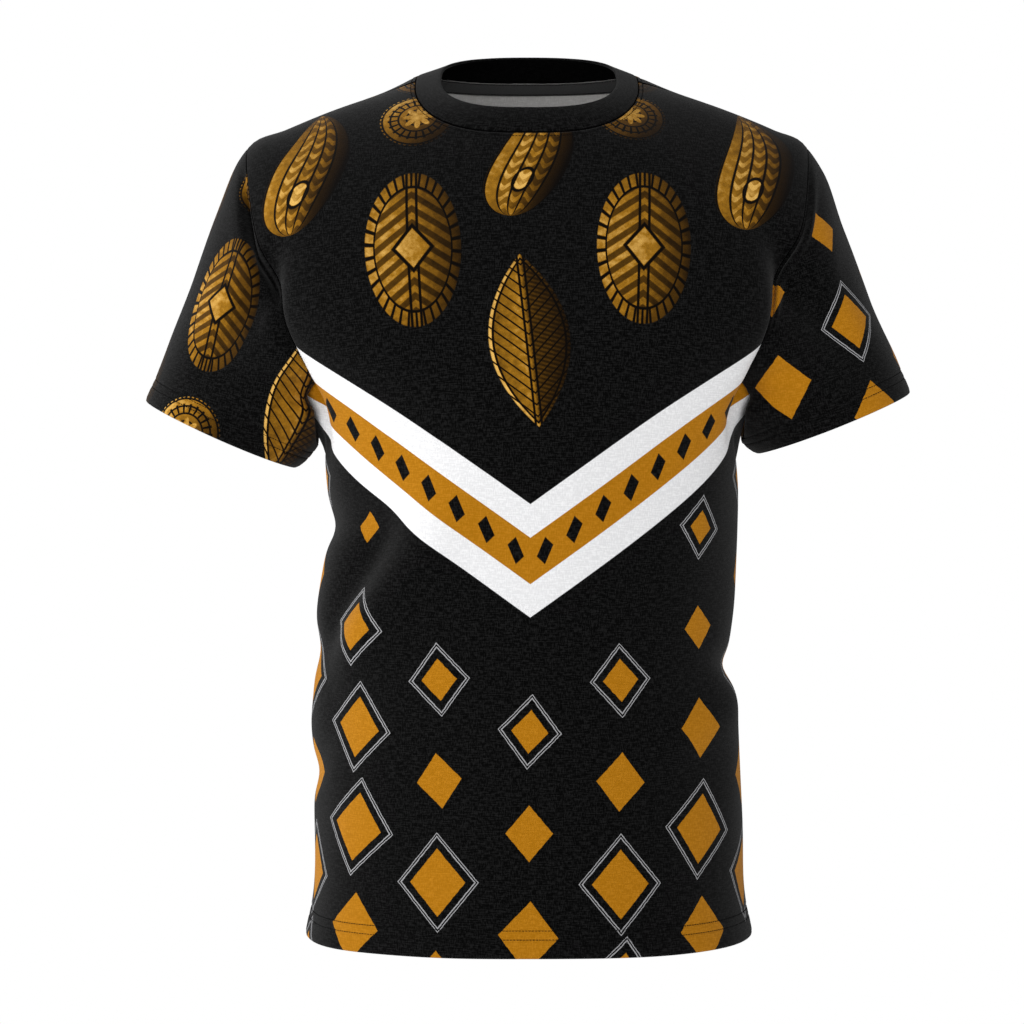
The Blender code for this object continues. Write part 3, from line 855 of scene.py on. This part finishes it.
def sewn_stitches(name, lines):
    """The stitches of several lines, as one piece of thread on the shirt."""
    places, along, out = (np.concatenate(parts) for parts in zip(*lines))
    mesh = bpy.data.meshes.new(name)
    mesh.from_pydata(places.tolist(), [], [])
    for label, values in (("along", along), ("out", out)):
        attribute = mesh.attributes.new(label, "FLOAT_VECTOR", "POINT")
        attribute.data.foreach_set("vector", values.ravel())
    row = in_scene(name + "_points", mesh)
    nodes = row.modifiers.new("stitches", "NODES")
    nodes.node_group = sewing
    for socket in sewing.interface.items_tree:
        if socket.name == "Finish":
            nodes[socket.identifier] = thread
    graph = bpy.context.evaluated_depsgraph_get()
    made = bpy.data.meshes.new_from_object(row.evaluated_get(graph))
    made.name = name
    bpy.data.objects.remove(row)
    piece = in_scene(name, made)
    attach(piece, "root")
    return piece


def line_from_edge(outside, normals, distance):
    """The line of points on a skin at a distance from its bottom edge, with the ways out of it."""
    off = run_along(outside[::-1])
    line, out = [], []
    for column in range(outside.shape[1]):
        for found, values in ((line, outside), (out, normals)):
            found.append(at(distance, off[:, column], values[::-1, column]))
    return np.array(line), np.array(out)


panel_faces = {}


def turned_panel(name, skin, normals, flat, turned, stitch_rows, top_rows, materials):
    """A panel in place of its solid, with its edge turned up, its seams rolled in and painted shade along
    them. Gives its outside.
    """
    wall = np.full((len(skin), 1, 1), JERSEY)
    wall[-turned - 1:] = HEM_WALL
    sink = seam_sink(skin, False)
    outside = turned_edge(skin, normals, stitch_rows, top_rows) - normals * sink[:, :, None]
    piece = cloth_piece("shirt_" + name, outside, skin - normals * wall, flat, turned, False, materials)
    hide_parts(name)
    return outside


def round_the_body(distance, upside_down):
    """The stitch line that runs round the body at a distance from its panels' bottom edge, or top edge."""
    parts = []
    for name in PANELS:
        face, normals = panel_faces[name], panel_normals[name]
        if upside_down:
            face, normals = face[::-1], normals[::-1]
        parts.append(line_from_edge(face, normals, distance))
    line, out = (np.concatenate([front[:-1], back[:-1]]) for front, back in zip(*parts))
    return stitch_line(line, out, True)


body_jersey = jersey_materials("body", 1.0, -0.405)
for name, values in PANELS.items():
    flat = flat_cut(panel_skin(places, *values, False))
    flat[:, :, 1] += panels[name][0, COLUMNS // 2, 2]
    panel_faces[name] = turned_panel(
        name, panels[name], panel_normals[name], flat, HEM_ROWS, HEM_STITCHES, NECK_STITCHES, body_jersey,
    )
hem_lines = [round_the_body(distance, False) for distance in HEM_STITCHES]
sewn_stitches("hem_stitches", hem_lines)

# The sleeves: one piece of the same printed jersey each, sewn along the underarm and set into the armhole,
# with a turned-up cuff. The cloth folds in under the arm, where it hangs against the body.
CUFF_DEPTH = 0.0205
Cuff = namedtuple("Cuff", "side outer_x outer_z inner_x inner_z depth drop")
CUFFS = {
    "sleeve_right": Cuff(-1, 0.323, -0.270, 0.196, -0.328, 0.062, 0.004),
    "sleeve_left": Cuff(1, 0.3245, -0.263, 0.195, -0.316, 0.062, 0.004),
}
SLEEVE_CLEARANCE = 0.0025
UNDERARM_TUCK = 0.020
UNDERARM_DROP = 0.018
CAP_STIFFNESS = 0.6
LEAVE_SIDEWAYS_TOP = 0.66
LEAVE_SIDEWAYS_BOTTOM = 0.74
LEAVE_FORWARD = 0.35
SLEEVE_LENGTH = 0.19
SLEEVE_RADIUS = 0.075
SLEEVE_ROWS = 64
CUFF_ROWS = 24
# Shares of a sleeve's length: where its creases begin, and from where on they fade, to what is left at the
# cuff
CREASES_BEGIN = 0.03
CREASES_FADE = 0.8
LEFT_AT_CUFF = 0.3
# Creases in each sleeve: degrees round it from the shoulder, positive towards the front, and how far down
# from the armhole's seam, as a negative height
SLEEVE_CREASES = {
    "sleeve_right": (
        (16, -0.008, 70, -0.009, 0.0075, -0.010),
        (20, -0.024, 95, -0.034, 0.015, 0.002),
        (150, -0.030, 75, -0.130, 0.018, -0.003),
        (110, -0.030, 55, -0.105, 0.022, 0.0012),
        (0, -0.030, 0, -0.130, 0.040, -0.0022),
        (-30, -0.014, -110, -0.020, 0.010, -0.005),
        (-140, -0.030, -80, -0.120, 0.014, -0.004),
    ),
    "sleeve_left": (
        (14, -0.003, 95, -0.003, 0.004, -0.004),
        (12, -0.011, 92, -0.013, 0.007, 0.004),
        (150, -0.030, 80, -0.120, 0.014, -0.002),
        (40, -0.030, 80, -0.075, 0.012, 0.0010),
        (25, -0.045, 62, -0.095, 0.013, 0.0010),
        (0, -0.045, 0, -0.150, 0.040, -0.0042),
        (-25, -0.012, -105, -0.022, 0.010, -0.005),
        (-145, -0.030, -85, -0.120, 0.014, -0.004),
    ),
}


def armhole_loop(front, back, side):
    """The armhole's points from the armpit up the back, over the shoulder and down the front, and how far
    round each lies: 0 at the shoulder, towards pi at the front."""
    rows = np.flatnonzero((places >= SHOULDER_RING - 1e-9) & (places <= ARMPIT_RING + 1e-9))
    down = front[rows, 0 if side < 0 else -1]
    up = back[rows, -1 if side < 0 else 0][::-1]
    turn = np.pi * (places[rows] - SHOULDER_RING) / (ARMPIT_RING - SHOULDER_RING)
    return np.concatenate([up, down[1:]]), np.concatenate([-turn[::-1], turn[1:]])


def clear_of_body(points, side):
    """Sleeve points below the armpit, moved out sideways to lie just clear of the body's skin."""
    below = smooth_step(0, UNDERARM_DROP / 2, RINGS[ARMPIT_RING].side - points[:, 2])
    ring = Ring(*(np.interp(-points[:, 2], -side_rings[:, 0], column) for column in side_rings.T))
    half = ring.right if side < 0 else ring.left
    deep = np.where(points[:, 1] < 0, ring.fore, ring.aft)
    inside = np.clip(1 - np.abs(points[:, 1] / deep) ** ring.square, 0, 1)
    nearest = half * inside ** (1 / ring.square) + SLEEVE_CLEARANCE
    moved = points.copy()
    moved[:, 0] += side * below * np.maximum(nearest - side * points[:, 0], 0)
    return moved


def sleeve_skin(loop, turn, cuff, shares):
    """A sleeve's skin, ring by ring from the armhole to the cuff's edge."""
    top, fore = np.cos(turn), np.sin(turn)
    outer = np.array([cuff.side * cuff.outer_x, 0.0, cuff.outer_z])
    inner = np.array([cuff.side * cuff.inner_x, 0.0, cuff.inner_z])
    across = (outer - inner) / 2
    edge = (outer + inner) / 2 + top[:, None] * across
    edge[:, 1] -= fore * cuff.depth
    edge[:, 2] -= fore * cuff.drop
    run = np.cross(across, (0.0, 1.0, 0.0))
    run *= -np.sign(run[2]) / np.linalg.norm(run)
    outward = LEAVE_SIDEWAYS_BOTTOM + (LEAVE_SIDEWAYS_TOP - LEAVE_SIDEWAYS_BOTTOM) * (1 + top) / 2
    leave = np.stack([cuff.side * outward, -LEAVE_FORWARD * fore, -np.sqrt(1 - outward ** 2)], axis=-1)
    reach = np.linalg.norm(edge - loop, axis=1)[:, None]
    armpit = RINGS[ARMPIT_RING].side
    rings = [loop]
    for share in shares[1:]:
        points = curved(share, loop, leave * reach * CAP_STIFFNESS, edge, run * reach)
        tuck = UNDERARM_TUCK * np.sin(np.pi * share) * np.sqrt(np.clip(-top, 0, 1))
        points[:, 0] -= cuff.side * tuck * smooth_step(0.002, 0.002 + UNDERARM_DROP, armpit - points[:, 2])
        rings.append(clear_of_body(points, cuff.side))
    return np.array(rings)


def creased_sleeve(skin, turn, shares, creases):
    """A sleeve's skin with its creases, none of them at its seam and faint ones at its cuff."""
    normals = grid_normals(skin, False)
    degrees = np.degrees(turn)
    rise = np.array([
        crease_rise(creases, degrees, np.full(len(turn), -share * SLEEVE_LENGTH), SLEEVE_RADIUS)
        for share in shares
    ])
    fade = (1 - LEFT_AT_CUFF) * smooth_step(CREASES_FADE, 1.0, shares)
    hold = smooth_step(0.0, CREASES_BEGIN, shares) * (1 - fade)
    return skin + normals * (rise * hold[:, None])[:, :, None]


turn_at = 1 - CUFF_DEPTH / SLEEVE_LENGTH
sleeve_shares = np.concatenate([
    spaced(0, turn_at, SLEEVE_ROWS, SLEEVE_LENGTH - CUFF_DEPTH, True, False),
    np.linspace(turn_at, 1, CUFF_ROWS + 1)[1:],
])
CUFF_STITCHES = (0.0190, 0.0123)
# Where the print changes from motifs to lozenges on each sleeve's cut: one has motifs alone, and the other
# lozenges alone
SLEEVE_BORDERS = {"sleeve_right": -0.600, "sleeve_left": 0.085}
for name, cuff in CUFFS.items():
    loop, turn = armhole_loop(panels["front"], panels["back"], cuff.side)
    seam_normals, _ = armhole_loop(panel_normals["front"], panel_normals["back"], cuff.side)
    plain = sleeve_skin(loop, turn, cuff, sleeve_shares)
    if cuff.side > 0:
        plain, turn = plain[:, ::-1], turn[::-1]
        seam_normals = seam_normals[::-1]
    creases = [Crease(*row) for row in SLEEVE_CREASES[name]]
    skin = creased_sleeve(plain, turn, sleeve_shares, creases)
    normals = grid_normals(skin, False)
    normals[0] = seam_normals
    joint = normals[:, 0] + normals[:, -1]
    normals[:, 0] = normals[:, -1] = joint / np.linalg.norm(joint, axis=-1, keepdims=True)
    jersey = jersey_materials(name, 0.0, SLEEVE_BORDERS[name])
    outside = turned_panel(
        name, skin, normals, flat_cut(plain), CUFF_ROWS, CUFF_STITCHES, (), jersey,
    )
    lines = []
    for distance in CUFF_STITCHES:
        line, out = line_from_edge(outside, normals, distance)
        lines.append(stitch_line(line[:-1], out[:-1], True))
    sewn_stitches(name + "_stitches", lines)

# The neckband: a strip of black rib knit, folded double along its upper edge and sewn into the neckline. It
# stands up a little steeper than the shoulders and bulges slightly, because it is stretched round the neck.
RIB_WALL = 0.0026
BAND_TOP = Ring(0.004, -0.034, 0.033, 0.0335, 0.074, 0.077, 0.069, 0.070, 2.8)
BAND_DEPTH = 0.022
BAND_BULGE = 0.0015
BAND_ROWS = 10
# How far the rib's inside and its seam strip are darkened towards black: painted shade inside the neck
RIB_PAINTED_SHADE = 0.8


def band_skin():
    """The neckband's skin from the neck seam up to its upper edge, ring by ring."""
    share = spaced(0, 1, COLUMNS, BODY_WIDTH)
    angles = np.concatenate([-180 + 180 * share[:-1], 180 * share[:-1]])
    rings = []
    for up in spaced(0, 1, BAND_ROWS, BAND_DEPTH, True, False):
        ring = Ring(*(np.array(RINGS[0]) * (1 - up) + np.array(BAND_TOP) * up))
        points, out = ring_points(ring, angles)
        rings.append(points + out * BAND_BULGE * np.sin(np.pi * up))
    return np.array(rings)


band = band_skin()
normals = grid_normals(band[::-1], True)[::-1]
normals[0] = np.concatenate([panel_normals["front"][0, :-1], panel_normals["back"][0, :-1]])
rib = []
for side, nap in (("outside", 0.085), ("inside", 0.0), ("painted_seam_shade", 0.0)):
    material, tree, shader = new_material("rib_knit_" + side, 0.9, 0.02, nap)
    cloth = put_group(tree, knit, Cut=place_on_cut(tree), Wale=0.0018, Course=0.0008)
    colour = mixed(cloth["Slub"], 0.0001, (0.0100, 0.0100, 0.0101))
    # Painted shade: the inside and the seam strip have no sheen and are mixed towards black, for the neck's
    # shadow
    if side != "outside":
        colour = mixed(RIB_PAINTED_SHADE, colour, 0.0004)
    surfaced(shader, colour, cloth["Height"], 0.4, 0.0002)
    rib.append(material)
around = run_along(band[0])
up = run_along(band).mean(axis=1)
flat = np.stack(np.meshgrid(around, up), axis=-1)
band_face = band - normals * seam_sink(band, True)[:, :, None]
piece = cloth_piece(
    "shirt_neckband", band_face[:, ::-1], (band - normals * RIB_WALL)[:, ::-1], flat[:, ::-1], 0, True, rib,
)
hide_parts("neckband")

# A row of black stitches runs round the neck just below the band's seam. It goes through the panels and
# the seam's edges behind them, and holds the seam down.
neck_lines = [round_the_body(distance, True) for distance in NECK_STITCHES]
sewn_stitches("neck_stitches", neck_lines)

# The neck tape: a narrow strip of black herringbone tape inside the back neck, over the neckband's seam, from
# one shoulder seam to the other, stitched down along both edges.
TAPE_WALL = 0.0010
TAPE_WIDTH = 0.013
TAPE_BELOW_SEAM = 0.0012
TAPE_SIDE_DEGREES = 12.0
TAPE_GAP = 0.0005
TAPE_ROWS = 12
TAPE_COLUMNS = 120
TAPE_EDGE_THINNING = 0.35
TAPE_STITCHES = (0.1, 0.9)
run = np.hypot(RINGS[1].aft - RINGS[0].aft, RINGS[1].back - RINGS[0].back)
tape_places = np.linspace(TAPE_BELOW_SEAM, TAPE_BELOW_SEAM + TAPE_WIDTH, TAPE_ROWS + 1) / run
tape_angles = np.linspace(TAPE_SIDE_DEGREES, 180 - TAPE_SIDE_DEGREES, TAPE_COLUMNS + 1)
strip = np.array([ring_points(ring_at(place), tape_angles)[0] for place in tape_places])
normals = grid_normals(strip, False)
edge = np.abs(np.linspace(-1, 1, TAPE_ROWS + 1))[:, None, None]
thin = TAPE_EDGE_THINNING * TAPE_WALL * edge ** 6
outside = strip - normals * (JERSEY + TAPE_GAP + thin)
inside = strip - normals * (JERSEY + TAPE_GAP + TAPE_WALL - thin)
along = run_along(strip[TAPE_ROWS // 2])
flat = np.stack(np.meshgrid(along, -tape_places * run), axis=-1)
tape, tree, shader = new_material("herringbone_tape", 0.85, 0.1)
u, v = split(place_on_cut(tree))
zigzag = abs(fract(v / (TAPE_WIDTH / 2)) - 0.5)
twill = ramp(sine((u / 0.0013 + zigzag * 5.0) * (2 * np.pi)), -0.8, 0.8)
surfaced(shader, mixed(twill, 0.036, 0.064), twill, 0.5, 0.0002)
piece = cloth_piece("shirt_neck_tape", outside, inside, flat, 0, False, (tape, tape))
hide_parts("neck_tape")
tape_lines = []
for share in TAPE_STITCHES:
    row = int(round(share * TAPE_ROWS))
    tape_lines.append(stitch_line(inside[row, 2:-2], -normals[row, 2:-2], False))
sewn_stitches("tape_stitches", tape_lines)

# The studio: a pale floor a wearer's height below the neck, which fades out into a white backdrop. The
# backdrop is the world itself, brightest before the shirt and at the wearer's right, where two softboxes
# stand. It lights the shirt less from behind, from above and from below.
FLOOR_HEIGHT = -1.45
FLOOR_RADIUS = 2.4
FLOOR_SIDES = 96
WHITE = (1.0, 1.0, 1.0, 1.0)
turns = np.linspace(0, 2 * np.pi, FLOOR_SIDES + 1)[:-1]
rim = [(FLOOR_RADIUS * np.cos(turn), FLOOR_RADIUS * np.sin(turn), FLOOR_HEIGHT) for turn in turns]
floor_mesh = bpy.data.meshes.new("floor")
floor_mesh.from_pydata(rim, [], [list(range(FLOOR_SIDES))])
in_scene("floor", floor_mesh)
pale_floor, tree, shader = new_material("pale_floor", 0.8, 0.5)
place = worked(tree, "ShaderNodeTexCoord", output="Object")
shrunk = {"Vector": place, "Scale": (1 / FLOOR_RADIUS, 1 / FLOOR_RADIUS, 0.0)}
shrunk = worked(tree, "ShaderNodeMapping", shrunk)
inward = worked(tree, "ShaderNodeTexGradient", {"Vector": shrunk}, "Fac", gradient_type="SPHERICAL")
tree.links.new(ramp(inward, 0.0, 0.5).socket, shader.inputs["Alpha"])
tree.links.new(mixed(noise(place, 3.0, 3.0, 2.0), 0.86, 0.90).socket, shader.inputs["Base Color"])
floor_mesh.materials.append(pale_floor)

world = bpy.data.worlds.new("studio")
world.use_nodes = True
tree = world.node_tree
facing = worked(tree, "ShaderNodeTexCoord", output="Generated")
before = {0: facing, 1: (-0.50, -0.84, 0.20)}
before = worked(tree, "ShaderNodeVectorMath", before, "Value", operation="DOT_PRODUCT")
strength = 0.92 + most(before, 0.0) * 1.22
_, back, above = split(facing, 3)
for part, low, high, weaker in (
    (back, 0.55, 0.95, 0.75), (above, 0.05, 0.55, 0.82), (above, -0.20, -0.80, 0.45),
):
    strength = strength * (1.0 - ramp(part, low, high) * weaker)
backdrop = tree.nodes["Background"]
backdrop.inputs["Color"].default_value = WHITE
tree.links.new(strength.socket, backdrop.inputs["Strength"])
seen = worked(tree, "ShaderNodeBackground", {"Color": WHITE, "Strength": 1.0})
to_camera = worked(tree, "ShaderNodeLightPath", output="Is Camera Ray")
choice = worked(tree, "ShaderNodeMixShader", {0: to_camera, 1: Value(backdrop.outputs[0]), 2: seen})
tree.links.new(choice.socket, tree.nodes["World Output"].inputs["Surface"])
bpy.context.scene.world = world

Light = namedtuple("Light", "x y z size power")
LIGHTS = {
    "softbox_side": Light(-2.6, -0.3, -0.1, 1.6, 26.0),
    "softbox_back": Light(-2.3, 1.5, -0.35, 1.6, 12.0),
}
LIT_POINT = Vector((0.0, 0.0, -0.35))
for name, values in LIGHTS.items():
    light = bpy.data.lights.new(name, "AREA")
    light.size = values.size
    light.energy = values.power
    lamp = in_scene(name, light)
    lamp.location = values[:3]
    lamp.rotation_euler = (LIT_POINT - lamp.location).to_track_quat("-Z", "Y").to_euler()
bpy.context.scene.view_settings.view_transform = "Standard"
